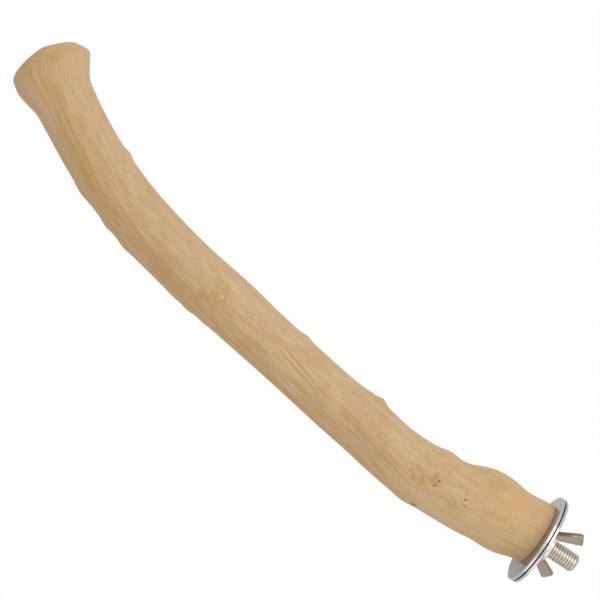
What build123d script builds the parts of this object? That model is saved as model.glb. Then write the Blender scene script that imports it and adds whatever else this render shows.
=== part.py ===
from build123d import *
import math
import os

# A bird perch that clamps to a cage wall: a crooked limb, a hanger bolt in its sawn end,
# two wide washers that grip the bars between them, and a wing nut.
# The origin is on the bolt axis where the two washers meet. X runs into the limb, Z is up.

# Branch
branch_reach = 283.5        # sawn end to knob end, along the bolt axis
branch_bend = 55.2          # how far the knob end swings out to the side
branch_bow = 4.0            # how far the limb leaves the plane of its bend
branch_radius = 13.0        # between the swellings
sawn_round = 0.4            # sanded edge of the sawn end
knob_radius = 17.1          # flared end, where the limb grew out of a thicker one
knob_length = 17.7          # start of the flare to the knob end, along the bolt axis
knob_nose = 5.9             # widest ring to the knob end, which is rounded as seen from above
knob_round = 3.6            # sanded edge over the top and bottom of that end
knob_slant = 2.6            # how much earlier the flare starts on the +Y side
knob_tilt = 3.0             # degrees that the knob end leans toward the +Y side
oval_share = 0.05           # how much flatter the limb is than it is wide
section_count = 42
section_points = 20
sawn_angles = [0, 45, 90]               # degrees round the sawn edge that carry a section
nose_angles = [0, 22, 42, 58, 70, 80]   # degrees round the nose that carry a section
flare_shares = [0.0, 0.25, 0.5, 0.75]   # parts of the flare's length that carry a section

# Evenly spaced from the sawn end to the knob end
sideways_shares = [0.031, -0.007, -0.061, -0.072, -0.027, 0.013, 0.067, 0.122,
                   0.18, 0.23, 0.301, 0.404, 0.549, 0.744, 1.0]
bow_shares = [0, 0.2, 0.5, 0.3, -0.2, -0.5, -0.3, 0.1, 0.5, 0.6, 0.3, -0.1, -0.2, 0.2, 0.6]
girth_shares = [1.055, 1.165, 1.041, 1.015, 0.994, 0.953, 0.938, 0.938,
                0.971, 0.974, 0.984, 0.974, 0.976, 0.998, 1.014]

# Swellings, knots and nubs: place along the reach, turn about the limb (0 is the +Y side,
# 0.25 the top, 0.5 the -Y side), then height and length as shares of the branch radius,
# and width as a share of a full turn. A hollow has a height below zero.
knot_shares = [
    (0.036, 0.50, -0.065, 0.40, 0.10),
    (0.045, 0.00, 0.045, 0.40, 0.06),
    (0.089, 0.00, -0.035, 0.35, 0.08),
    (0.097, 0.50, 0.120, 0.70, 0.16),
    (0.121, 0.24, 0.030, 0.30, 0.05),
    (0.172, 0.50, 0.090, 0.38, 0.08),
    (0.175, 0.26, 0.035, 0.30, 0.05),
    (0.196, 0.01, 0.045, 0.32, 0.06),
    (0.251, 0.74, 0.070, 0.45, 0.07),
    (0.258, 0.50, -0.065, 0.75, 0.12),
    (0.270, 0.02, 0.015, 0.45, 0.08),
    (0.305, 0.49, 0.090, 0.20, 0.05),
    (0.320, 0.50, 0.035, 0.35, 0.08),
    (0.452, 0.50, 0.050, 0.20, 0.05),
    (0.533, 0.80, 0.060, 0.40, 0.06),
    (0.581, 0.02, 0.020, 0.20, 0.05),
    (0.585, 0.26, 0.050, 0.35, 0.06),
    (0.610, 0.01, 0.035, 0.25, 0.06),
    (0.637, 0.02, 0.020, 0.25, 0.06),
    (0.684, 0.00, -0.018, 0.60, 0.12),
    (0.726, 0.70, 0.080, 0.40, 0.06),
    (0.734, 0.00, 0.045, 0.26, 0.06),
    (0.771, 0.01, 0.045, 0.22, 0.05),
    (0.827, 0.00, 0.055, 0.35, 0.06),
    (0.834, 0.50, 0.060, 0.20, 0.04),
    (0.901, 0.00, -0.028, 0.60, 0.16),
    (0.979, 0.47, 0.045, 0.09, 0.06),
    (0.995, 0.41, 0.230, 0.08, 0.13),
    (1.000, 0.24, -0.165, 0.38, 0.11),
]

# Hanger bolt: machine thread outside, wood screw inside
bolt_radius = 4.0
bolt_reach = 18.8           # past the plane where the washers meet
bolt_chamfer = 1.0
screw_radius = 3.0          # core of the wood screw
screw_depth = 38.0          # into the wood
screw_point = 6.0           # length of its tapered tip
pilot_clearance = 0.02      # between the screw's core and the drilled hole

# Two like washers
washer_radius = 20.3
washer_thickness = 1.5
washer_edge = 0.4           # edge broken by the punch
washer_hole_clearance = 0.2

# Wing nut
hub_radius = 6.8
hub_top_radius = 5.9
hub_height = 4.8
hub_edge = 0.6
nut_clearance = 0.05        # between thread crest and bore
nut_chamfer = 0.6
wing_reach = 16.3           # axis to the outer corner of a wing
wing_shoulder = 11.1        # seat to that corner
wing_tip_reach = 11.3       # axis to the inner corner
wing_height = 13.8          # seat to that corner
wing_foot = 0.6             # seat to the foot of a wing, and hub top to where the wing joins it again
wing_foot_reach = 7.9       # axis to the outer corner of the foot
wing_thickness = 2.6
wing_corner = 1.8           # round of the outer corner
wing_tip_corner = 0.8       # round of the inner corner
wing_edge = 0.4
wing_turn = 39.0            # degrees that the wings are turned out of the plane of the bend

overrun = 1.0               # how far a cut passes the face that it opens


def through(shares, place):
    """Value and slope of a smooth curve through evenly spaced shares, level at its start."""
    last = len(shares) - 1
    row = min(int(place * last), last - 1)
    part = place * last - row
    inner = [(after - before) / 2 for before, after in zip(shares, shares[2:])]
    slopes = [0] + inner + [shares[-1] - shares[-2]]
    step = shares[row + 1] - shares[row]
    bend = 3 * step - 2 * slopes[row] - slopes[row + 1]
    swing = slopes[row] + slopes[row + 1] - 2 * step
    value = shares[row] + part * (slopes[row] + part * (bend + part * swing))
    return value, last * (slopes[row] + part * (2 * bend + 3 * part * swing))


def eased(share):
    """Rise from 0 to 1 that starts and ends level."""
    held = min(max(share, 0), 1)
    return held * held * (3 - 2 * held)


def rounding(to_end, size):
    """How much a sanded quarter round takes off the radius at a distance from its end."""
    into = min(max(size - to_end, 0), size)
    return size - math.sqrt(size**2 - into**2)


def nose(to_end):
    """Share of the width that is left on the nose of the knob end, a half ellipse."""
    into = min(max(1 - to_end / knob_nose, 0), 1)
    return math.sqrt(1 - into**2)


def limb_radius(place, turn):
    """Radius of the limb: its girth, the flare of the knob, and every knot as a rounded hill."""
    girth = branch_radius * through(girth_shares, place)[0]
    to_end = branch_reach * (1 - place)
    rim_end = to_end - knob_slant * math.cos(math.tau * turn)
    flare = (knob_radius - branch_radius) * eased((knob_length - rim_end) / (knob_length - knob_nose))
    radius = (girth + flare) * (1 - oval_share * math.sin(math.tau * turn) ** 2)
    for knot_place, knot_turn, height, length, width in knot_shares:
        away = branch_reach * (place - knot_place) / (branch_radius * length)
        around = ((turn - knot_turn + 0.5) % 1 - 0.5) / width
        radius += branch_radius * height * math.exp(-away**2 - around**2)
    return radius - rounding(branch_reach * place, sawn_round) - rounding(to_end, knob_round)


def limb_section(place):
    """One closed outline of the limb, square to its centre line up to the leaning knob."""
    side, side_slope = through(sideways_shares, place)
    centre = Vector(
        washer_thickness + branch_reach * place,
        -branch_bend * side,
        branch_bow * through(bow_shares, place)[0],
    )
    lean = knob_tilt * eased(1 - branch_reach * (1 - place) / knob_length)
    onward = Vector(branch_reach, -branch_bend * side_slope, 0).rotate(Axis.Z, lean)
    across = Vector(0, 0, 1).cross(onward)
    turns = [index / section_points for index in range(section_points + 1)]
    width = nose(branch_reach * (1 - place))
    points = []
    for turn in turns[:-1]:
        spoke = Vector(width * math.cos(math.tau * turn), math.sin(math.tau * turn))
        points.append(spoke * limb_radius(place, turn))
    outline = Edge.make_spline(points, periodic=True, parameters=turns)
    return Plane(centre, x_dir=across, z_dir=onward) * make_face(outline)


def limb_places():
    """Even places along the limb, each moved onto a knot that lies close to it."""
    places = [index / section_count for index in range(section_count + 1)]
    for knot in knot_shares:
        nearest = min(range(1, section_count), key=lambda index: abs(places[index] - knot[0]))
        places[nearest] = knot[0]
    sawn_end = sawn_round / branch_reach
    nose_end = knob_nose / branch_reach
    knob_end = knob_length / branch_reach
    plain = [place for place in places if sawn_end < place < 1 - knob_end]
    sawn_places = [sawn_end * (1 - math.sin(math.radians(angle))) for angle in sawn_angles]
    flare_places = [1 - knob_end + (knob_end - nose_end) * share for share in flare_shares]
    nose_places = [1 - nose_end * (1 - math.sin(math.radians(angle))) for angle in nose_angles]
    return sorted(plain + sawn_places + flare_places + nose_places)


def make_branch():
    limb = loft([limb_section(place) for place in limb_places()], ruled=True)
    hole_radius = screw_radius + pilot_clearance
    hole_depth = screw_depth - screw_point
    mouth = Plane((washer_thickness - overrun, 0, 0), x_dir=(0, 1, 0), z_dir=(1, 0, 0))
    hole = extrude(mouth * Circle(hole_radius), hole_depth + overrun)
    bottom = Plane((washer_thickness + hole_depth, 0, 0), x_dir=(0, 1, 0), z_dir=(1, 0, 0))
    tip = bottom * Cone(hole_radius, 0, screw_point, align=(Align.CENTER, Align.CENTER, Align.MIN))
    return limb - hole - tip


def make_hanger_bolt():
    """Turned profile about the bolt axis: chamfered end, thread, wood screw, point."""
    shoulder = washer_thickness
    profile = Polyline(
        (-bolt_reach, 0),
        (-bolt_reach, bolt_radius - bolt_chamfer),
        (-bolt_reach + bolt_chamfer, bolt_radius),
        (shoulder, bolt_radius),
        (shoulder, screw_radius),
        (shoulder + screw_depth - screw_point, screw_radius),
        (shoulder + screw_depth, 0),
        close=True,
    )
    return revolve(make_face(profile), Axis.X)


def make_washer(inner_face):
    """Flat ring from inner_face toward the limb, both edges of its rim broken by the punch."""
    plane = Plane((inner_face, 0, 0), x_dir=(0, 1, 0), z_dir=(1, 0, 0))
    ring = Circle(washer_radius) - Circle(bolt_radius + washer_hole_clearance)
    washer = extrude(plane * ring, washer_thickness)
    rims = washer.edges().filter_by(GeomType.CIRCLE).group_by(SortBy.RADIUS)[-1]
    return chamfer(rims, washer_edge)


def make_wing():
    """One flat blade in the plane of the nut's axis, splayed out and up from the hub."""
    outline = Polyline(
        (0, wing_foot),
        (wing_foot_reach, wing_foot),
        (wing_reach, wing_shoulder),
        (wing_tip_reach, wing_height),
        (hub_top_radius, hub_height - wing_foot),
        (0, hub_height - wing_foot),
        close=True,
    )
    blade = make_face(Plane.XZ * outline)
    blade = fillet(blade.vertices().sort_by(Axis.X)[-1], wing_corner)
    blade = fillet(blade.vertices().sort_by(Axis.Z)[-1], wing_tip_corner)
    solid = extrude(blade, wing_thickness / 2, both=True)
    flats = solid.faces().filter_by(Axis.Y)
    rims = [edge for face in flats for edge in face.edges() if edge.center().X > hub_radius]
    return chamfer(rims, wing_edge)


def make_wing_nut():
    """Forged hub with two blades, drilled through and countersunk at both ends."""
    stand = (Align.CENTER, Align.CENTER, Align.MIN)
    hub = Cone(hub_radius, hub_top_radius, hub_height, align=stand)
    hub = chamfer(hub.edges().sort_by(Axis.Z)[-1], hub_edge)
    wing = make_wing()
    body = hub + wing + wing.rotate(Axis.Z, 180)
    bore_radius = bolt_radius + nut_clearance
    mouth_radius = bore_radius + nut_chamfer + overrun
    bore = Polyline(
        (0, -overrun),
        (mouth_radius, -overrun),
        (bore_radius, nut_chamfer),
        (bore_radius, hub_height - nut_chamfer),
        (mouth_radius, hub_height + overrun),
        (0, hub_height + overrun),
        close=True,
    )
    body -= revolve(make_face(Plane.XZ * bore), Axis.Z)
    turn = math.radians(wing_turn)
    wing_way = (0, -math.cos(turn), math.sin(turn))
    return Plane((-washer_thickness, 0, 0), x_dir=wing_way, z_dir=(-1, 0, 0)) * body


pieces = {
    "branch": make_branch(),
    "hanger_bolt": make_hanger_bolt(),
    "inner_washer": make_washer(0),
    "outer_washer": make_washer(-washer_thickness),
    "wing_nut": make_wing_nut(),
}

os.makedirs("parts", exist_ok=True)
for name, piece in pieces.items():
    export_step(piece, f"parts/{name}.step")
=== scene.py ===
import math

import bpy
import numpy as np
from mathutils import Matrix, Vector


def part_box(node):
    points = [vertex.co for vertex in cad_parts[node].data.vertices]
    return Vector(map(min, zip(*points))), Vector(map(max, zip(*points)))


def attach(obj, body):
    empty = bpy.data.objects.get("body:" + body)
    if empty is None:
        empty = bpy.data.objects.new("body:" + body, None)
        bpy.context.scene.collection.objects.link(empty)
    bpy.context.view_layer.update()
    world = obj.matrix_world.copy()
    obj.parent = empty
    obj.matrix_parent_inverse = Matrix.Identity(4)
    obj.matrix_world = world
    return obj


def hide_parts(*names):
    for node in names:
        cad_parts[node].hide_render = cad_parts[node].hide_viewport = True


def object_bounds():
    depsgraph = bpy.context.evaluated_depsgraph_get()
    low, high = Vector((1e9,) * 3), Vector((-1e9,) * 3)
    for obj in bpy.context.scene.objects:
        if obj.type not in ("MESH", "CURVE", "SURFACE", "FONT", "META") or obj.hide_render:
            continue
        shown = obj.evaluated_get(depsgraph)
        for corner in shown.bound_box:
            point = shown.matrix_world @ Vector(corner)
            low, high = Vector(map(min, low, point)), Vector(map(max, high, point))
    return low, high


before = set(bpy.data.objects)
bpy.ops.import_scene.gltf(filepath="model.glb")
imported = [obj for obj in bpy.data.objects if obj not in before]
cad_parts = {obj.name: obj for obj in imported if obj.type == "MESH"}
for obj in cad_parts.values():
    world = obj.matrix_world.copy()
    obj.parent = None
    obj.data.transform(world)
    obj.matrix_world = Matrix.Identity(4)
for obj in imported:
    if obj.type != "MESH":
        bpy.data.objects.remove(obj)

cad_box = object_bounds()


# Branch
# One crooked limb of pale hardwood, sawn square at the clamp end, peeled of its bark and sanded.
# The knob at its free end is where it grew out of a thicker limb. It is drilled for the bolt.
millimetre = 0.001
limb_reach = 283.4          # sawn end to knob end, along the bolt axis
limb_bend = 55.1            # how far the knob end swings out to the side
limb_bow = 4.0              # how far the limb leaves the plane of its bend
limb_radius = 13.0
sawn_round = 0.4            # sanded edge of the sawn end
knob_radius = 17.1
knob_length = 17.7          # start of the flare to the knob end
knob_nose = 5.9             # widest ring to the knob end, which is rounded as seen from above
knob_round = 3.6            # sanded edge over the top and bottom of that end
knob_slant = 2.6            # how much earlier the flare starts on the +Y side
knob_tilt = 3.0             # degrees that the knob end leans toward the +Y side
oval_share = 0.05           # how much flatter the limb is than it is wide
hole_radius = 3.02
hole_depth = 38.0
hole_point = 6.0            # tapered bottom of the hole
ridge_height = 0.02         # low ridges that the sanding leaves along the fibres
ridge_start = 4.0           # from the sawn end to where the ridges have their full height
ridge_counts = range(9, 60, 3)      # how many of them go round the limb
ridge_lengths = (70.0, 220.0)       # shortest and longest wave of a ridge along the limb
ridge_seed = 7
spiral = 0.001              # turns that the fibres make about the limb in a millimetre of its length
knot_layers_share = 1 / 3   # how much of a knot's height is outer layers that the sanding cuts through
sawn_rows = 9
limb_rows = 420
nose_rows = 26
nose_stop = 80.0            # degrees round the nose, where its nearly flat end face starts
limb_columns = 208

sideways_shares = [0.031, -0.007, -0.061, -0.072, -0.027, 0.013, 0.067, 0.122,
                   0.18, 0.23, 0.301, 0.404, 0.549, 0.744, 1.0]
bow_shares = [0, 0.2, 0.5, 0.3, -0.2, -0.5, -0.3, 0.1, 0.5, 0.6, 0.3, -0.1, -0.2, 0.2, 0.6]
girth_shares = [1.055, 1.165, 1.041, 1.015, 0.994, 0.953, 0.938, 0.938,
                0.971, 0.974, 0.984, 0.974, 0.976, 0.998, 1.014]

# Swellings, knots and nubs: place along the reach, turn about the limb (0 is the +Y side, 0.25 the
# top, 0.5 the -Y side), height and length as shares of the limb's radius, width of a full turn.
knot_shares = [
    (0.036, 0.50, -0.065, 0.40, 0.10),
    (0.045, 0.00, 0.045, 0.40, 0.06),
    (0.089, 0.00, -0.035, 0.35, 0.08),
    (0.097, 0.50, 0.120, 0.70, 0.16),
    (0.121, 0.24, 0.030, 0.30, 0.05),
    (0.172, 0.50, 0.090, 0.38, 0.08),
    (0.175, 0.26, 0.035, 0.30, 0.05),
    (0.196, 0.01, 0.045, 0.32, 0.06),
    (0.251, 0.74, 0.070, 0.45, 0.07),
    (0.258, 0.50, -0.065, 0.75, 0.12),
    (0.270, 0.02, 0.015, 0.45, 0.08),
    (0.305, 0.49, 0.090, 0.20, 0.05),
    (0.320, 0.50, 0.035, 0.35, 0.08),
    (0.452, 0.50, 0.050, 0.20, 0.05),
    (0.533, 0.80, 0.060, 0.40, 0.06),
    (0.581, 0.02, 0.020, 0.20, 0.05),
    (0.585, 0.26, 0.050, 0.35, 0.06),
    (0.610, 0.01, 0.035, 0.25, 0.06),
    (0.637, 0.02, 0.020, 0.25, 0.06),
    (0.684, 0.00, -0.018, 0.60, 0.12),
    (0.726, 0.70, 0.080, 0.40, 0.06),
    (0.734, 0.00, 0.045, 0.26, 0.06),
    (0.771, 0.01, 0.045, 0.22, 0.05),
    (0.827, 0.00, 0.055, 0.35, 0.06),
    (0.834, 0.50, 0.060, 0.20, 0.04),
    (0.901, 0.00, -0.028, 0.60, 0.16),
    (0.979, 0.47, 0.045, 0.09, 0.06),
    (0.995, 0.41, 0.230, 0.08, 0.13),
    (1.000, 0.24, -0.165, 0.38, 0.11),
]

# Where the fibres part: place and turn as above, and how far the swirl reaches in millimetres.
swirls = [
    (0.583, 0.265, 6.0),
    (0.171, 0.289, 4.0),
    (0.176, 0.243, 3.0),
    (0.125, 0.257, 3.5),
    (0.150, 0.190, 6.0),
    (0.207, 0.250, 4.0),
    (0.305, 0.480, 4.0),
    (0.183, 0.064, 3.0),
    (0.251, 0.740, 6.0),
    (0.533, 0.800, 6.0),
    (0.726, 0.700, 6.5),
]


def through(shares, place):
    """Smooth curve through evenly spaced shares: a cubic between each two, whose slope at a share is
    half the step between its neighbours, level at the start. Gives the value and the slope."""
    shares = np.array(shares, float)
    last = len(shares) - 1
    slopes = np.concatenate([[0], (shares[2:] - shares[:-2]) / 2, shares[-1:] - shares[-2:-1]])
    row = np.clip((place * last).astype(int), 0, last - 1)
    part = place * last - row
    step = shares[row + 1] - shares[row]
    bend = 3 * step - 2 * slopes[row] - slopes[row + 1]
    swing = slopes[row] + slopes[row + 1] - 2 * step
    value = shares[row] + part * (slopes[row] + part * (bend + part * swing))
    return value, last * (slopes[row] + part * (2 * bend + 3 * part * swing))


def eased(share):
    """Rise from 0 to 1 that starts and ends level: three times the square less twice the cube."""
    held = np.clip(share, 0, 1)
    return held * held * (3 - 2 * held)


def rounding(to_end, size):
    """What a sanded quarter round takes off the radius, at a distance from its end."""
    into = np.clip(size - to_end, 0, size)
    return size - np.sqrt(size**2 - into**2)


def nose(to_end):
    """Share of the width that is left on the nose of the knob end, a half ellipse."""
    into = np.clip(1 - to_end / knob_nose, 0, 1)
    return np.sqrt(1 - into**2)


def turn_between(turn, other):
    """Shortest way round from one turn to another, from minus a half to a half."""
    return (turn - other + 0.5) % 1 - 0.5


def knots_at(place, turn):
    """Height of the knots: each is a hill, the exponential of minus the squares of the distances along
    and around, and their heights are added."""
    total = 0 * place * turn
    for knot_place, knot_turn, height, length, width in knot_shares:
        away = limb_reach * (place - knot_place) / (limb_radius * length)
        around = turn_between(turn, knot_turn) / width
        total = total + limb_radius * height * np.exp(-away**2 - around**2)
    return total


def girth_at(place, turn):
    """Radius of the limb: its girth and the flare of the knob, flattened to an oval, then the knots, less
    the sanded edges of both ends."""
    to_end = limb_reach * (1 - place)
    rim_end = to_end - knob_slant * np.cos(math.tau * turn)
    flare = (knob_radius - limb_radius) * eased((knob_length - rim_end) / (knob_length - knob_nose))
    radius = limb_radius * through(girth_shares, place)[0] + flare
    radius = radius * (1 - oval_share * np.sin(math.tau * turn) ** 2) + knots_at(place, turn)
    return radius - rounding(limb_reach * place, sawn_round) - rounding(to_end, knob_round)


def parted_fibres(along, turn):
    """Turn of the fibre through each point. Fibres wind slowly about the limb, and part round a knot as a
    stream parts round a post: the distance across shrinks to nothing at its middle, by one less the
    exponential of minus the square of the distance over the swirl."""
    moved = turn - spiral * along
    for place, knot_turn, swirl in swirls:
        across = turn_between(turn, knot_turn) * math.tau * limb_radius
        reach = (along - limb_reach * place) ** 2 + across**2
        moved = moved - across * np.exp(-reach / swirl**2) / (math.tau * limb_radius)
    return moved


def ridges(along, turn):
    """Low ridges along the fibres: a sum of cosines, each a whole number of waves round the limb and a slow
    wave along it, with a height of one over the square root of that number."""
    draw = np.random.default_rng(ridge_seed)
    total = 0
    for waves in ridge_counts:
        slow = math.tau / draw.uniform(*ridge_lengths)
        start = draw.uniform(0, math.tau)
        total = total + np.cos(math.tau * waves * turn + slow * along + start) / waves**0.5
    return total


def limb_grid():
    """Grid of the whole limb: out of the drilled hole, across the sawn end, along the limb, round the nose
    and to the middle of its end. A row is a share of the way from an inner ring to the surface."""
    sawn_angles = np.radians(np.linspace(90, 0, sawn_rows))
    nose_angles = np.radians(np.linspace(0, nose_stop, nose_rows))
    sawn_places = sawn_round * (1 - np.sin(sawn_angles)) / limb_reach
    nose_places = 1 - knob_nose * (1 - np.sin(nose_angles)) / limb_reach
    middle = np.linspace(sawn_places[-1], nose_places[0], limb_rows)[1:-1]
    side = np.concatenate([sawn_places, middle, nose_places])
    shoulder = (hole_depth - hole_point) / limb_reach
    drilled = [hole_depth / limb_reach, shoulder, shoulder / 2, 0, 0, 0]
    place = np.concatenate([drilled, side, [side[-1], side[-1]]])[:, None]
    fill = np.concatenate([[0, 0, 0, 0, 0.5, 0.9], np.ones(len(side)), [0.5, 0]])[:, None]
    turn = np.arange(limb_columns)[None, :] / limb_columns
    ring = np.stack([0 * turn, np.cos(math.tau * turn), np.sin(math.tau * turn)], axis=-1)

    swing, slope = through(sideways_shares, place)
    sawn_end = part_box("branch")[0][0] / millimetre
    axis = np.stack([sawn_end + limb_reach * place, 0 * place, 0 * place], axis=-1)
    bow = through(bow_shares, place)[0]
    centre = axis + np.stack([0 * place, -limb_bend * swing, limb_bow * bow], axis=-1)
    lean = math.radians(knob_tilt) * eased(1 - limb_reach * (1 - place) / knob_length)
    way = np.arctan2(-limb_bend * slope, limb_reach) + lean
    width = nose(limb_reach * (1 - place))
    across = np.stack([-np.sin(way), np.cos(way), 0 * way], axis=-1) * width[..., None]
    spoke = ring[..., 1:2] * across + ring[..., 2:3] * np.array([0.0, 0.0, 1.0])

    along = limb_reach * place + 0 * turn
    fibre_turn = parted_fibres(along, turn)
    rough = ridge_height * eased(along / ridge_start) * eased((limb_reach - along) / knob_nose)
    radius = girth_at(place, turn) + rough * ridges(along, fibre_turn)
    row = np.arange(len(place))[:, None]
    hole = np.where((row > 0) & (row < len(drilled)), hole_radius, 0.0)
    inner = np.where(row[..., None] < len(drilled), axis, centre) + hole[..., None] * ring
    points = inner + fill[..., None] * (centre + radius[..., None] * spoke - inner)

    # Where each point lies in the straight limb that the fibres and the stains are drawn on.
    layers = limb_radius + knot_layers_share * knots_at(place, turn)
    depth = fill * layers + (1 - fill) * hole
    fibre_angle = math.tau * fibre_turn
    fibre = np.stack([along, depth * width * np.cos(fibre_angle), depth * np.sin(fibre_angle)], axis=-1)
    spot = np.stack([along, limb_radius * width * ring[..., 1],
                     limb_radius * ring[..., 2] + 0 * along], axis=-1)
    return points, {"fibre": fibre, "spot": spot}


def skin(points, closed=False):
    """Faces over a grid whose rows are closed loops. A closed grid joins its last row to its first. An
    open one ends in two points, so its first and last rows are one vertex each."""
    rows, columns = points.shape[:2]
    index = np.arange(rows * columns).reshape(rows, columns)
    if not closed:
        index = np.concatenate([0 * index[:1], index[1:-1] - columns + 1,
                                0 * index[:1] + (rows - 2) * columns + 1])
    onward = np.roll(index, -1, axis=0) if closed else index[1:]
    here = index if closed else index[:-1]
    quads = np.stack([here, np.roll(here, -1, axis=1), np.roll(onward, -1, axis=1), onward], axis=-1)
    if closed:
        return points.reshape(-1, 3), [quads.reshape(-1, 4)]
    first = quads[0][:, [0, 2, 3]]
    last = quads[-1][:, [0, 1, 2]]
    return end_points(points), [first, quads[1:-1].reshape(-1, 4), last]


def end_points(grid):
    """Values of an open grid with one value for each of its two ends."""
    width = grid.shape[-1]
    return np.concatenate([grid[0, :1], grid[1:-1].reshape(-1, width), grid[-1, :1]])


def new_piece(name, skins, material, attributes=None):
    """Smooth mesh object of one or more skins, in metres, with vectors at its vertices."""
    counts = np.cumsum([0] + [len(points) for points, faces in skins])
    groups = [group + count for (points, faces), count in zip(skins, counts) for group in faces]
    sizes = np.concatenate([np.full(len(group), group.shape[1]) for group in groups])
    corners = np.concatenate([group.ravel() for group in groups])
    mesh = bpy.data.meshes.new(name)
    mesh.vertices.add(counts[-1])
    every_point = np.concatenate([points for points, faces in skins])
    mesh.vertices.foreach_set("co", every_point.ravel() * millimetre)
    mesh.loops.add(len(corners))
    mesh.loops.foreach_set("vertex_index", corners)
    mesh.polygons.add(len(sizes))
    mesh.polygons.foreach_set("loop_start", np.cumsum(sizes) - sizes)
    mesh.update(calc_edges=True)
    mesh.shade_smooth()
    for label, values in (attributes or {}).items():
        layer = mesh.attributes.new(label, "FLOAT_VECTOR", "POINT")
        layer.data.foreach_set("vector", values.ravel())
    mesh.materials.append(material)
    piece = bpy.data.objects.new(name, mesh)
    bpy.context.scene.collection.objects.link(piece)
    return piece


def linear(colour):
    """Linear red, green, blue and alpha of an sRGB hex colour."""
    parts = [int(colour[start:start + 2], 16) / 255 for start in (1, 3, 5)]
    return [part / 12.92 if part <= 0.04045 else ((part + 0.055) / 1.055) ** 2.4 for part in parts] + [1]


def add(tree, kind, inputs=None, **settings):
    """Adds a node, sets its settings, and fills its inputs with values, nodes or sockets."""
    node = tree.nodes.new("ShaderNode" + kind)
    for name, value in settings.items():
        setattr(node, name, value)
    for name, value in (inputs or {}).items():
        if isinstance(value, bpy.types.Node):
            value = value.outputs[0]
        if isinstance(value, bpy.types.NodeSocket):
            tree.links.new(value, node.inputs[name])
        else:
            node.inputs[name].default_value = value
    return node


def new_material(name):
    """Material with an empty tree of nodes."""
    material = bpy.data.materials.new(name)
    material.use_nodes = True
    material.node_tree.nodes.clear()
    return material


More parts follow.
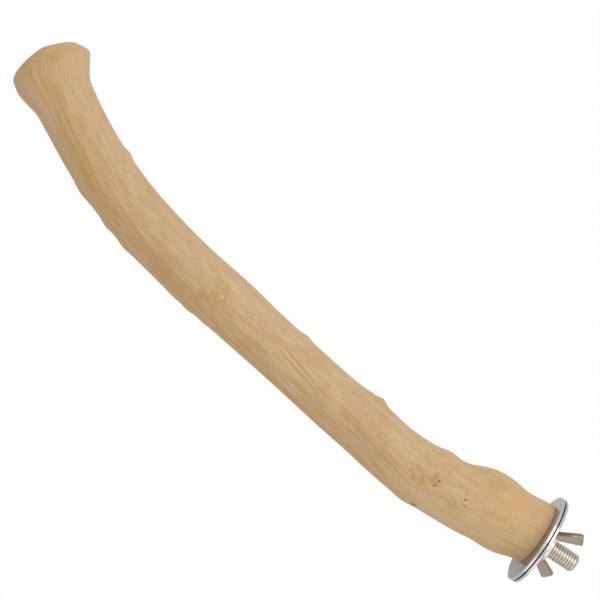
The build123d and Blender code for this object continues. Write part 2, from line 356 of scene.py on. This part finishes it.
def sanded_wood():
    """Pale hardwood, peeled and hand-sanded, without varnish: matte, with soft ochre clouds, fine lines
    where the sanding cuts through the layers of growth, and brown hearts and stains at the knots. Its
    colour also holds painted light and shade: paler on the -Y side, by the clamp and where it is seen
    edge-on, and greyish along the +Y flank."""
    material = new_material("peeled_sanded_hardwood")
    tree = material.node_tree
    fibre = add(tree, "Attribute", attribute_name="fibre").outputs["Vector"]
    spot = add(tree, "Attribute", attribute_name="spot").outputs["Vector"]

    # Patterns: length along and width across the fibres in millimetres, and how far each is broken up.
    grain = {}
    for name, length, width, detail in [
        ("cloud", 26.0, 9.0, 3.0),
        ("blotch", 7.0, 3.6, 3.0),
        ("growth", 65.0, 6.5, 1.5),
        ("line", 34.0, 0.9, 2.0),
        ("hair", 16.0, 0.45, 1.0),
        ("pore", 1.2, 0.7, 2.0),
    ]:
        stretched = add(tree, "VectorMath", {0: fibre, 1: (1 / length, 1 / width, 1 / width)},
                        operation="MULTIPLY")
        grain[name] = add(tree, "TexNoise", {"Vector": stretched, "Scale": 1.0, "Detail": detail,
                                             "Roughness": 0.5})

    # The layers of growth: the slow pattern, roughened by the hairs, folded into dark and pale bands.
    growth_layers = 6.0
    layer = add(tree, "Math", {0: grain["growth"], 1: growth_layers, 2: grain["hair"]},
                operation="MULTIPLY_ADD")
    grain["layer"] = add(tree, "Math", {0: layer, 1: 0.5}, operation="PINGPONG")

    # The lines show most on the +Y side, where the sanding went deepest, and least by the clamp, where they
    # come in between two places along the limb in millimetres, and on the knob's end. The same share also
    # paints the -Y side paler than the top and the +Y side: painted light from the lamps on that side.
    side = add(tree, "SeparateXYZ", {"Vector": spot})
    deep_sanding_and_shade = add(tree, "MapRange", {"Value": side.outputs["Y"], "From Min": -6.0, "From Max": 4.0,
                                  "To Min": 0.2, "To Max": 1.0})
    # Painted light: a paler base colour on the -Y side, which the lamps light most.
    colour = add(tree, "Mix", {0: deep_sanding_and_shade, 6: linear("#d2b28b"), 7: linear("#ccaa7d")}, data_type="RGBA")
    colour = colour.outputs[2]
    clamp_fade = (30.0, 75.0)
    end_fade = (limb_reach, limb_reach - 8.0)
    for faint, full in [clamp_fade, end_fade]:
        share = add(tree, "MapRange", {"Value": side.outputs["X"], "From Min": faint, "From Max": full,
                                       "To Min": 0.35})
        deep_sanding_and_shade = add(tree, "Math", {0: deep_sanding_and_shade, 1: share}, operation="MULTIPLY")

    # What each pattern colours: from and to which of its values, how strongly at most, and the colour.
    for name, low, high, most, tint in [
        ("cloud", 0.45, 0.75, 0.55, "#c4995f"),
        ("cloud", 0.50, 0.25, 0.55, "#d0b08f"),
        ("blotch", 0.45, 0.75, 0.45, "#c0965e"),
        ("blotch", 0.50, 0.25, 0.45, "#d8b791"),
        ("layer", 0.16, 0.02, 0.32, "#ab8252"),
        ("line", 0.50, 0.72, 0.45, "#ad8350"),
        ("line", 0.48, 0.25, 0.30, "#dabc95"),
        ("hair", 0.50, 0.75, 0.30, "#a98455"),
        ("hair", 0.50, 0.25, 0.32, "#dec5a2"),
        ("pore", 0.50, 0.75, 0.32, "#b08a5a"),
    ]:
        share = add(tree, "MapRange", {"Value": grain[name], "From Min": low, "From Max": high,
                                       "To Max": most})
        if name in ("cloud", "layer", "line"):
            share = add(tree, "Math", {0: share, 1: deep_sanding_and_shade}, operation="MULTIPLY")
        colour = add(tree, "Mix", {0: share, 6: colour, 7: linear(tint)}, data_type="RGBA").outputs[2]

    # Stains, scars and knots, and a few marks of painted light and shade: place and turn, half length and
    # half width in millimetres, tilt in degrees, the share of it that is full, how strong it is, and its
    # colour. Their edges waver, but not a crease's.
    crease_width = 0.5
    waver_size = 4.0
    waver_reach = 2.0
    waver = add(tree, "TexNoise", {"Vector": spot, "Scale": 1 / waver_size, "Detail": 3.0,
                                   "Roughness": 0.6})
    waver = add(tree, "VectorMath", {0: waver.outputs["Color"], 1: (0.5, 0.5, 0.5)}, operation="SUBTRACT")
    moved = add(tree, "VectorMath", {0: waver, 1: (waver_reach, waver_reach, waver_reach), 2: spot},
                operation="MULTIPLY_ADD")
    for place, turn, length, width, tilt, full, most, tint in [
        # Painted light: a pale patch on the +Y side by the clamp, where the washers keep the lamps' light
        # off.
        (0.150, 0.100, 34.0, 12.0, 0, 0.0, 0.35, "#e0c299"),
        (0.050, 0.330, 22.0, 16.0, 0, 0.0, 0.35, "#d3a468"),
        (0.664, 0.150, 36.0, 6.5, 4, 0.0, 0.45, "#b58a52"),
        (0.845, 0.160, 34.0, 6.0, 4, 0.0, 0.40, "#b78d56"),
        (0.095, 0.365, 8.0, 5.0, 0, 0.0, 0.50, "#c39557"),
        (0.155, 0.394, 7.0, 5.0, 0, 0.0, 0.35, "#d1a06a"),
        # Painted shade: these three greyish marks along the +Y flank, the shaded side.
        (0.305, 0.148, 17.0, 3.4, 7, 0.1, 0.55, "#c4a98f"),
        (0.890, 0.112, 28.0, 3.6, 0, 0.1, 0.55, "#c8ad93"),
        (0.965, 0.090, 12.0, 7.0, 0, 0.1, 0.45, "#c6aa90"),
        (0.985, 0.300, 6.0, 14.0, 0, 0.2, 0.50, "#c49a67"),
        (0.450, 0.239, 24.0, 1.0, 7, 0.0, 0.40, "#d6ba9a"),
        (0.425, 0.271, 21.0, 0.45, 7, 0.0, 0.60, "#a67a4a"),
        (0.432, 0.260, 21.0, 0.45, 7, 0.0, 0.50, "#dfc39d"),
        (0.440, 0.248, 21.0, 0.45, 7, 0.0, 0.60, "#a67a4a"),
        # Painted shade: a greyish mark on the +Y flank, the shaded side.
        (0.201, 0.060, 16.0, 4.0, 0, 0.1, 0.40, "#bd9f83"),
        (0.337, 0.247, 6.0, 2.6, 0, 0.0, 0.50, "#bf9256"),
        (0.330, 0.228, 2.5, 1.6, 45, 0.0, 0.60, "#c08a52"),
        (0.665, 0.236, 16.0, 0.9, 3, 0.0, 0.45, "#b98a5c"),
        (0.707, 0.250, 6.0, 0.6, 0, 0.0, 0.60, "#b5825a"),
        (0.781, 0.159, 8.0, 1.2, 0, 0.0, 0.60, "#c09055"),
        (0.896, 0.290, 5.0, 3.0, 0, 0.0, 0.50, "#c4975c"),
        (0.190, 0.252, 8.0, 4.5, 0, 0.0, 0.45, "#bd8e56"),
        (0.207, 0.274, 3.0, 2.4, 0, 0.0, 0.60, "#ba8a4c"),
        (0.215, 0.240, 1.3, 1.8, 20, 0.0, 0.60, "#b68e55"),
        (0.206, 0.221, 2.6, 1.3, 35, 0.0, 0.70, "#b0864d"),
        (0.193, 0.216, 1.1, 1.0, 0, 0.0, 0.70, "#ab7b48"),
        (0.193, 0.240, 1.2, 2.4, 0, 0.0, 0.60, "#bf8c5a"),
        (0.181, 0.284, 0.9, 2.4, 0, 0.0, 0.75, "#b3844a"),
        (0.177, 0.297, 0.8, 2.4, 0, 0.0, 0.75, "#ad7f48"),
        (0.177, 0.272, 3.4, 3.2, 0, 0.0, 0.60, "#b88850"),
        (0.174, 0.244, 1.6, 0.8, -49, 0.0, 0.80, "#96663a"),
        (0.172, 0.274, 1.1, 0.6, -79, 0.2, 0.85, "#6e3c1d"),
        (0.129, 0.290, 0.8, 3.2, 0, 0.0, 0.50, "#b08a58"),
        (0.122, 0.227, 1.9, 0.6, 49, 0.0, 0.65, "#a87c4a"),
        (0.1225, 0.243, 0.9, 1.2, 0, 0.1, 0.50, "#dfbf97"),
        (0.125, 0.257, 0.6, 1.0, 0, 0.3, 0.80, "#8a5a34"),
        (0.181, 0.064, 1.7, 2.0, 0, 0.2, 0.85, "#7d4a1c"),
        (0.314, 0.440, 2.5, 2.0, 0, 0.0, 0.35, "#b58a56"),
        (0.305, 0.490, 1.0, 2.2, 0, 0.1, 0.80, "#8a6138"),
        (0.322, 0.390, 1.0, 0.8, 0, 0.0, 0.60, "#a87d45"),
        (0.604, 0.197, 4.0, 3.2, 0, 0.0, 0.60, "#b88b52"),
        (0.581, 0.173, 2.6, 1.6, 0, 0.0, 0.50, "#b98e5c"),
        (0.608, 0.282, 2.6, 1.3, 0, 0.0, 0.50, "#b9935b"),
        (0.594, 0.290, 2.0, 1.3, 0, 0.0, 0.40, "#bb9663"),
        (0.579, 0.364, 3.5, 2.2, 0, 0.0, 0.50, "#d8ba98"),
        (0.551, 0.273, 5.0, 1.4, 0, 0.0, 0.50, "#d6b893"),
        (0.555, 0.210, 3.0, 0.9, 0, 0.0, 0.60, "#b98a54"),
        (0.594, 0.231, 1.7, 4.0, 0, 0.5, 0.50, "#b98c5a"),
        (0.591, 0.236, 1.4, 3.6, 0, 0.5, 0.60, "#d0aa7c"),
        (0.586, 0.248, 1.9, 2.9, 0, 0.6, 0.55, "#b98c58"),
        (0.5850, 0.251, 1.5, 2.5, 0, 0.6, 0.70, "#cfa776"),
        (0.5800, 0.262, 2.1, 2.4, 0, 0.6, 0.55, "#ab8049"),
        (0.5820, 0.263, 1.7, 1.9, 0, 0.6, 0.75, "#cfaa79"),
        (0.5812, 0.260, 1.2, 1.5, 0, 0.3, 0.70, "#d8b68a"),
        (0.251, 0.740, 3.2, 2.6, 0, 0.0, 0.60, "#a97f4c"),
        (0.251, 0.740, 1.2, 1.0, 0, 0.2, 0.85, "#68442a"),
        (0.533, 0.800, 2.8, 2.2, 0, 0.0, 0.60, "#a97f4c"),
        (0.533, 0.800, 1.0, 0.9, 0, 0.2, 0.85, "#70492b"),
        (0.726, 0.700, 3.4, 2.8, 0, 0.0, 0.60, "#a97f4c"),
        (0.726, 0.700, 1.3, 1.1, 0, 0.2, 0.85, "#6b452a"),
    ]:
        angle = math.tau * turn
        facing = Matrix.Rotation(angle + math.pi / 2, 3, "X") @ Matrix.Rotation(math.radians(tilt), 3, "Z")
        away = add(tree, "Mapping", {
            "Vector": moved if width > crease_width else spot,
            "Location": (limb_reach * place, limb_radius * math.cos(angle), limb_radius * math.sin(angle)),
            "Rotation": facing.to_euler(),
            "Scale": (length, width, limb_radius / 2),
        }, vector_type="TEXTURE")
        away = add(tree, "VectorMath", {0: away}, operation="LENGTH").outputs["Value"]
        share = add(tree, "MapRange", {"Value": away, "From Min": 1.0, "From Max": full, "To Max": most},
                    interpolation_type="SMOOTHSTEP")
        colour = add(tree, "Mix", {0: share, 6: colour, 7: linear(tint)}, data_type="RGBA").outputs[2]

    # Painted light: the wood is painted paler and greyer where it is seen edge-on, lifting the shade there.
    edge = add(tree, "LayerWeight", {"Blend": 0.5})
    share = add(tree, "MapRange", {"Value": edge.outputs["Facing"], "From Min": 0.3, "From Max": 0.9,
                                   "To Max": 0.25})
    colour = add(tree, "Mix", {0: share, 6: colour, 7: linear("#d9bd9c")}, data_type="RGBA").outputs[2]

    roughness = add(tree, "MapRange", {"Value": grain["blotch"], "To Min": 0.6, "To Max": 0.8})
    relief = add(tree, "Mix", {0: 0.4, 2: grain["hair"], 3: grain["line"]})
    bump = add(tree, "Bump", {"Height": relief, "Strength": 0.2, "Distance": 0.1 * millimetre})
    surface = add(tree, "BsdfPrincipled", {"Base Color": colour, "Roughness": roughness, "IOR": 1.45,
                                           "Specular IOR Level": 0.3, "Normal": bump})
    add(tree, "OutputMaterial", {"Surface": surface})
    return material


limb_points, limb_vectors = limb_grid()
limb = new_piece("peeled_limb", [skin(limb_points)], sanded_wood(),
                 {label: end_points(values) for label, values in limb_vectors.items()})
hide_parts("branch")
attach(limb, "limb")


# Hanger bolt
# One rod of stainless steel with two rolled threads: a machine thread outside for the nut, and a wood
# screw inside that is driven into the drilled hole.
bolt_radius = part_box("hanger_bolt")[1][2] / millimetre
bolt_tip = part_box("hanger_bolt")[0][0] / millimetre
bolt_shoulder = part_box("branch")[0][0] / millimetre
bolt_chamfer = 1.0
thread_pitch = 1.25
thread_depth = 0.32
thread_level = 0.55         # mean height of the wave that is cut flat into a thread
thread_swing = 0.75         # how far that wave rises and falls
thread_rows = 340
screw_core = 3.0
screw_pitch = 3.0
screw_fin_share = 0.4       # of the pitch that a fin takes up at its foot
screw_depth = 38.0
screw_point = 6.0
screw_rows = 240
end_ring_share = 0.6        # of the radius where the end face has a ring of vertices
bolt_columns = 72


def machine_thread(along, turn):
    """Height of a rolled thread, 0 in its root and 1 on its crest: a cosine of the distance along less the
    helix's rise, cut flat over nearly a third of the pitch above and a quarter below."""
    wave = thread_level + thread_swing * np.cos(math.tau * (along / thread_pitch - turn))
    return np.clip(wave, 0, 1)


def bolt_grid():
    """Rod about the bolt axis, from the middle of its end face to the screw's point. Its radius is the
    core and the height of the thread, held under the chamfer at the end. The screw's fin is a wedge, one
    less the distance from its middle over half its foot, which grows out of the core at both ends."""
    turn = np.arange(bolt_columns)[None, :] / bolt_columns
    outside = np.linspace(bolt_tip, bolt_shoulder, thread_rows)[:, None]
    radius = bolt_radius - thread_depth * (1 - machine_thread(outside, turn))
    radius = np.minimum(radius, bolt_radius - bolt_chamfer + outside - bolt_tip)
    inside = np.linspace(bolt_shoulder, bolt_shoulder + screw_depth, screw_rows)[:, None]
    to_point = bolt_shoulder + screw_depth - inside
    core = screw_core * np.minimum(to_point / screw_point, 1)
    from_fin = np.abs((inside / screw_pitch - turn) % 1 - 0.5)
    fin = np.clip(1 - 2 / screw_fin_share * from_fin, 0, 1)
    fin = fin * eased(to_point / screw_point) * eased((inside - bolt_shoulder) / screw_pitch)
    screw = core + (bolt_radius - screw_core) * fin
    along = np.concatenate([outside[:1], outside[:1], outside, inside])
    radius = np.concatenate([0 * radius[:1], end_ring_share * radius[:1], radius, screw])
    height = np.concatenate([np.ones((2, bolt_columns)), machine_thread(outside, turn),
                             np.ones((len(inside), bolt_columns))])
    angle = math.tau * turn
    points = np.stack([along + 0 * turn, radius * np.cos(angle), radius * np.sin(angle)], axis=-1)
    return points, np.stack([height, 0 * height, 0 * height], axis=-1)


def rolled_steel():
    """Stainless steel with a rolled thread, its colour darker in the roots than on the crests: painted
    shade.
    """
    material = new_material("rolled_stainless_steel")
    tree = material.node_tree
    place = add(tree, "TexCoord").outputs["Object"]
    height = add(tree, "Attribute", attribute_name="thread").outputs["Vector"]
    height = add(tree, "SeparateXYZ", {"Vector": height})
    grime = add(tree, "TexNoise", {"Vector": place, "Scale": 1 / (2.5 * millimetre), "Detail": 3.0})
    depth = add(tree, "Math", {0: height, 1: grime, 2: -0.25}, operation="MULTIPLY_ADD")
    # Painted shade: the colour runs from darker in the thread's roots to paler on its crests.
    colour = add(tree, "Mix", {0: height.outputs["X"], 6: linear("#aaa196"), 7: linear("#c8c0b6")},
                 data_type="RGBA")
    roughness = add(tree, "MapRange", {"Value": depth, "To Min": 0.4, "To Max": 0.2})
    surface = add(tree, "BsdfPrincipled", {"Base Color": colour.outputs[2], "Metallic": 1.0,
                                           "Roughness": roughness})
    add(tree, "OutputMaterial", {"Surface": surface})
    return material


bolt_points, bolt_heights = bolt_grid()
bolt = new_piece("threaded_hanger_bolt", [skin(bolt_points)], rolled_steel(),
                 {"thread": end_points(bolt_heights)})
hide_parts("hanger_bolt")
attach(bolt, "limb")


# Washers
# Two like wide washers of stainless steel, punched from sheet and tumbled, so that their edges are
# round and their faces bright. The bolt passes through both, and the cage bars go between them.
washer_hole = 4.2
washer_edge = 0.5
washer_seat = 19.2          # from the axis to where the meeting faces start to stand apart
washer_relief = 0.27        # how far the punch has rolled each of them back at its rim
washer_gap = 0.02           # from each meeting face to the plane between them, so that they never touch
washer_columns = 160


def rounded(corners, sizes, steps=7):
    """Closed outline through corners, each turned into an arc: the arc's ends lie on the two sides, and
    between them it is the curve of second degree that the corner pulls."""
    before = np.roll(corners, 1, axis=0)
    after = np.roll(corners, -1, axis=0)
    back = (before - corners) / np.linalg.norm(before - corners, axis=1, keepdims=True)
    ahead = (after - corners) / np.linalg.norm(after - corners, axis=1, keepdims=True)
    sizes = np.array(sizes, float)[:, None, None]
    share = np.linspace(0, 1, steps)[None, :, None]
    bent = sizes * ((1 - share) ** 2 * back[:, None] + share**2 * ahead[:, None])
    return (corners[:, None] + bent).reshape(-1, 2)


def turned(outline, columns):
    """Outline of places along the bolt axis and radii, carried round the axis."""
    angle = math.tau * np.arange(columns)[None, :] / columns
    along, radius = outline[:, :1], outline[:, 1:]
    return np.stack([along + 0 * angle, radius * np.cos(angle), radius * np.sin(angle)], axis=-1)


def polished_steel():
    """Stainless sheet, punched and tumbled bright: a clear mirror with faint clouds and fine scratches,
    with painted shade, near black, in the groove where the two washers meet."""
    material = new_material("tumbled_stainless_steel")
    tree = material.node_tree
    place = add(tree, "TexCoord").outputs["Object"]
    groove = add(tree, "Attribute", attribute_name="groove").outputs["Vector"]
    groove = add(tree, "SeparateXYZ", {"Vector": groove})
    cloud = add(tree, "TexNoise", {"Vector": place, "Scale": 1 / (9.0 * millimetre), "Detail": 4.0})
    scratch = add(tree, "TexNoise", {"Vector": place, "Scale": 1 / (0.7 * millimetre), "Detail": 3.0})
    colour = add(tree, "Mix", {0: cloud, 6: linear("#b2b1b0"), 7: linear("#c8c8c8")}, data_type="RGBA")
    # Painted shade: the groove where the two washers meet is painted near black.
    colour = add(tree, "Mix", {0: groove, 6: colour.outputs[2], 7: linear("#141617")}, data_type="RGBA")
    roughness = add(tree, "MapRange", {"Value": cloud, "From Min": 0.3, "From Max": 0.7,
                                       "To Min": 0.08, "To Max": 0.17})
    bump = add(tree, "Bump", {"Height": scratch, "Strength": 0.08, "Distance": 0.02 * millimetre})
    surface = add(tree, "BsdfPrincipled", {"Base Color": colour.outputs[2], "Metallic": 1.0,
                                           "Roughness": roughness, "Normal": bump})
    add(tree, "OutputMaterial", {"Surface": surface})
    return material


washer_steel = polished_steel()
for node, body in [("inner_washer", "limb_side_washer"), ("outer_washer", "nut_side_washer")]:
    low, high = [[value / millimetre for value in corner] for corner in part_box(node)]
    if node == "inner_washer":
        outward, meeting, rolled = high[0], low[0] + washer_gap, low[0] + washer_relief
    else:
        outward, meeting, rolled = low[0], high[0] - washer_gap, high[0] - washer_relief
    outline = rounded(
        np.array([[outward, washer_hole], [meeting, washer_hole], [meeting, washer_seat - washer_edge],
                  [meeting, washer_seat], [rolled, washer_seat], [rolled, washer_seat + washer_edge],
                  [rolled, high[2]], [outward, high[2]]]),
        [washer_edge / 3, washer_edge / 3, washer_edge / 10, washer_relief / 3,
         washer_relief / 3, washer_edge / 10, washer_relief / 2, washer_edge],
    )
    # Both outlines run the same way round, the one that turns the faces outward.
    if node == "outer_washer":
        outline = outline[::-1]
    points = turned(outline, washer_columns)
    # Painted shade: the rows in the groove where the washers meet, which the material paints near black.
    groove_shade_rows = np.abs(outline[:, 1] - washer_seat) < washer_relief
    groove = np.where(groove_shade_rows[:, None, None], [1.0, 0.0, 0.0], 0 * points)
    washer = new_piece("tumbled_" + node, [skin(points, closed=True)], washer_steel, {"groove": groove})
    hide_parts(node)
    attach(washer, body)


# Wing nut
# One stainless steel nut, forged hot with a round hub and two flat wings, then tapped and tumbled.
# It screws onto the bolt and draws the outer washer against the cage bars.
nut_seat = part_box("wing_nut")[1][0] / millimetre
hub_radius = 6.8
hub_top_radius = 5.9
hub_height = 4.8
hub_edge = 0.6
hub_seat_edge = 0.3
hub_columns = 96
nut_bore = 4.1
nut_bore_edge = 0.1
nut_countersink = 0.6
wing_turn = 39.0            # degrees that the wings are turned out of the plane of the bend
wing_thickness = 2.6
wing_edge = 0.6
wing_edge_rows = 4
forging_grain = 0.14        # spacing of the mesh over the finished forging

# One blade: its corners, from inside the hub and round by its end, as distance from the axis and height
# above the seat, and how far each corner is rounded.
wing_corners = np.array([(4.9, 0.9), (7.9, 0.6), (16.3, 11.1), (11.3, 13.8), (5.9, 4.2), (4.9, 4.0)])
wing_rounds = [0.2, 0.6, 1.8, 0.8, 0.6, 0.2]


def wing_grid(way):
    """One blade: its outline carried across its thickness, drawn in at both edges by a flat bevel, and
    closed over each flat by a fan from the outline's middle."""
    outline = rounded(wing_corners, wing_rounds)
    onward = np.roll(outline, -1, axis=0) - np.roll(outline, 1, axis=0)
    inward = np.stack([-onward[:, 1], onward[:, 0]], axis=-1)
    inward = inward / np.linalg.norm(onward, axis=1, keepdims=True)
    inset = wing_edge * np.linspace(1, 0, wing_edge_rows)
    side = wing_thickness / 2 - wing_edge * np.linspace(0, 1, wing_edge_rows)
    inset = np.concatenate([inset, inset[::-1]])[:, None, None]
    side = np.concatenate([-side, side[::-1]])[:, None]
    face = outline + inset * inward
    middle = 0 * face[:1] + outline.mean(axis=0)
    face = np.concatenate([middle, face, middle])
    side = np.concatenate([side[:1], side, side[-1:]]) + 0 * face[..., 0]
    return nut_place(way * face[..., 0], way * side, face[..., 1])


def nut_place(out, side, height):
    """Points on the perch from distances out along the wings, to their side, and above the seat."""
    turn = math.radians(wing_turn)
    along = nut_seat - height
    return np.stack([along, -math.cos(turn) * out + math.sin(turn) * side,
                     math.sin(turn) * out + math.cos(turn) * side], axis=-1)


def forged_steel():
    """Stainless steel, forged and tumbled: a satin, faintly warm skin with the soft dimples of the die,
    and a painted highlight that makes the hub paler and whiter than the wings."""
    material = new_material("forged_stainless_steel")
    tree = material.node_tree
    place = add(tree, "TexCoord").outputs["Object"]
    dimple = add(tree, "TexNoise", {"Vector": place, "Scale": 1 / (1.6 * millimetre), "Detail": 2.0})
    cloud = add(tree, "TexNoise", {"Vector": place, "Scale": 1 / (5.0 * millimetre), "Detail": 3.0})
    colour = add(tree, "Mix", {0: cloud, 6: linear("#8c7e70"), 7: linear("#998b7d")}, data_type="RGBA")
    from_axis = add(tree, "VectorMath", {0: place, 1: (0.0, 1.0, 1.0)}, operation="MULTIPLY")
    from_axis = add(tree, "VectorMath", {0: from_axis}, operation="LENGTH").outputs["Value"]
    wing = add(tree, "MapRange", {"Value": from_axis, "From Min": hub_radius * millimetre,
                                  "From Max": (hub_radius + hub_edge) * millimetre})
    # Painted highlight: the hub is painted paler and whiter than the wings.
    colour = add(tree, "Mix", {0: wing, 6: linear("#d6d0c8"), 7: colour.outputs[2]}, data_type="RGBA")
    roughness = add(tree, "MapRange", {"Value": dimple, "From Min": 0.3, "From Max": 0.7,
                                       "To Min": 0.22, "To Max": 0.34})
    bump = add(tree, "Bump", {"Height": dimple, "Strength": 0.08, "Distance": 0.08 * millimetre})
    surface = add(tree, "BsdfPrincipled", {"Base Color": colour.outputs[2], "Metallic": 1.0,
                                           "Roughness": roughness, "Normal": bump})
    add(tree, "OutputMaterial", {"Surface": surface})
    return material


hub_top = nut_seat - hub_height
hub_outline = rounded(
    np.array([[hub_top, hub_top_radius], [nut_seat, hub_radius],
              [nut_seat, nut_bore + nut_countersink], [nut_seat - nut_countersink, nut_bore],
              [hub_top + nut_countersink, nut_bore], [hub_top, nut_bore + nut_countersink]]),
    [hub_edge, hub_seat_edge] + 4 * [nut_bore_edge],
)
nut = new_piece("forged_wing_nut", [
    skin(turned(hub_outline, hub_columns), closed=True),
    skin(wing_grid(1)),
    skin(wing_grid(-1)),
], forged_steel())
forging = nut.modifiers.new("forging", "REMESH")
forging.mode = "VOXEL"
forging.voxel_size = forging_grain * millimetre
forging.use_smooth_shade = True
tumbling = nut.modifiers.new("tumbling", "SMOOTH")
tumbling.factor = 0.5
tumbling.iterations = 2
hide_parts("wing_nut")
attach(nut, "nut")


# Floor, light and camera
# A pale matte floor under the washers' lowest edge, a white sky, and soft lamps, the strongest to the upper
# right of the picture. The camera looks straight down, turned as the photograph is.
floor_level = cad_box[0][2]
floor_half = 4.0
sky_light = 0.6             # what the sky gives to matte surfaces, where 1 is the white that is seen
view_middle = Vector((0.1390, -0.0281, 0))
view_height = 0.64
view_width = 0.252          # of the object's plane
view_turn = 213.8

# Matte painted board. It is seen nearly white, by the share given for each kind of ray, keeps a little of
# the shadow, and is mirrored mostly as it is lit.
floor_material = new_material("pale_studio_floor")
floor_tree = floor_material.node_tree
rays = add(floor_tree, "LightPath")
seen = 0.0
for ray, share in [("Is Camera Ray", 0.96), ("Is Glossy Ray", 0.08), ("Is Transmission Ray", 0.96)]:
    seen = add(floor_tree, "Math", {0: rays.outputs[ray], 1: share, 2: seen}, operation="MULTIPLY_ADD")
matte = add(floor_tree, "BsdfDiffuse", {"Color": linear("#f0f0ee")})
white = add(floor_tree, "Emission", {"Color": linear("#ffffff"), "Strength": 1.0})
add(floor_tree, "OutputMaterial", {"Surface": add(floor_tree, "MixShader", {0: seen, 1: matte, 2: white})})
floor_mesh = bpy.data.meshes.new("floor")
floor_corners = [(-1, -1), (1, -1), (1, 1), (-1, 1)]
floor_mesh.from_pydata([(floor_half * x, floor_half * y, floor_level) for x, y in floor_corners], [],
                       [(0, 1, 2, 3)])
floor_mesh.materials.append(floor_material)
floor = bpy.data.objects.new("floor", floor_mesh)
bpy.context.scene.collection.objects.link(floor)

# Lamps: place and size in metres, and power in watts. Each is turned to the middle of the view.
for name, place, size, power in [
    ("key_lamp", (-0.16, -0.55, 0.85), 0.7, 3.55),
    ("side_lamp", (-0.6, -0.42, 0.8), 0.4, 0.5),
    ("fill_lamp", (-0.3, 0.75, 0.5), 0.8, 1.0),
    ("back_lamp", (0.75, 0.06, 0.95), 0.18, 0.4),
    ("hub_lamp", (-0.29, 0.0, 0.74), 0.10, 0.25),
]:
    lamp = bpy.data.lights.new(name, "AREA")
    lamp.size = size
    lamp.energy = power
    holder = bpy.data.objects.new(name, lamp)
    holder.location = place
    holder.rotation_euler = (view_middle - Vector(place)).to_track_quat("-Z", "Y").to_euler()
    bpy.context.scene.collection.objects.link(holder)

world = bpy.data.worlds.new("studio")
world.use_nodes = True
world.node_tree.nodes.clear()
rays = add(world.node_tree, "LightPath")
strength = sky_light
for ray in ("Is Camera Ray", "Is Glossy Ray", "Is Transmission Ray"):
    strength = add(world.node_tree, "Math", {0: rays.outputs[ray], 1: 1 - sky_light, 2: strength},
                   operation="MULTIPLY_ADD")
sky = add(world.node_tree, "Background", {"Color": linear("#ffffff"), "Strength": strength})
add(world.node_tree, "OutputWorld", {"Surface": sky})
bpy.context.scene.world = world
bpy.context.scene.view_settings.view_transform = "Standard"

camera = bpy.data.objects.new("camera", bpy.data.cameras.new("camera"))
camera.data.lens = camera.data.sensor_width * view_height / view_width
camera.location = view_middle + Vector((0, 0, view_height))
camera.rotation_euler = (0, 0, math.radians(view_turn))
bpy.context.scene.collection.objects.link(camera)
bpy.context.scene.camera = camera
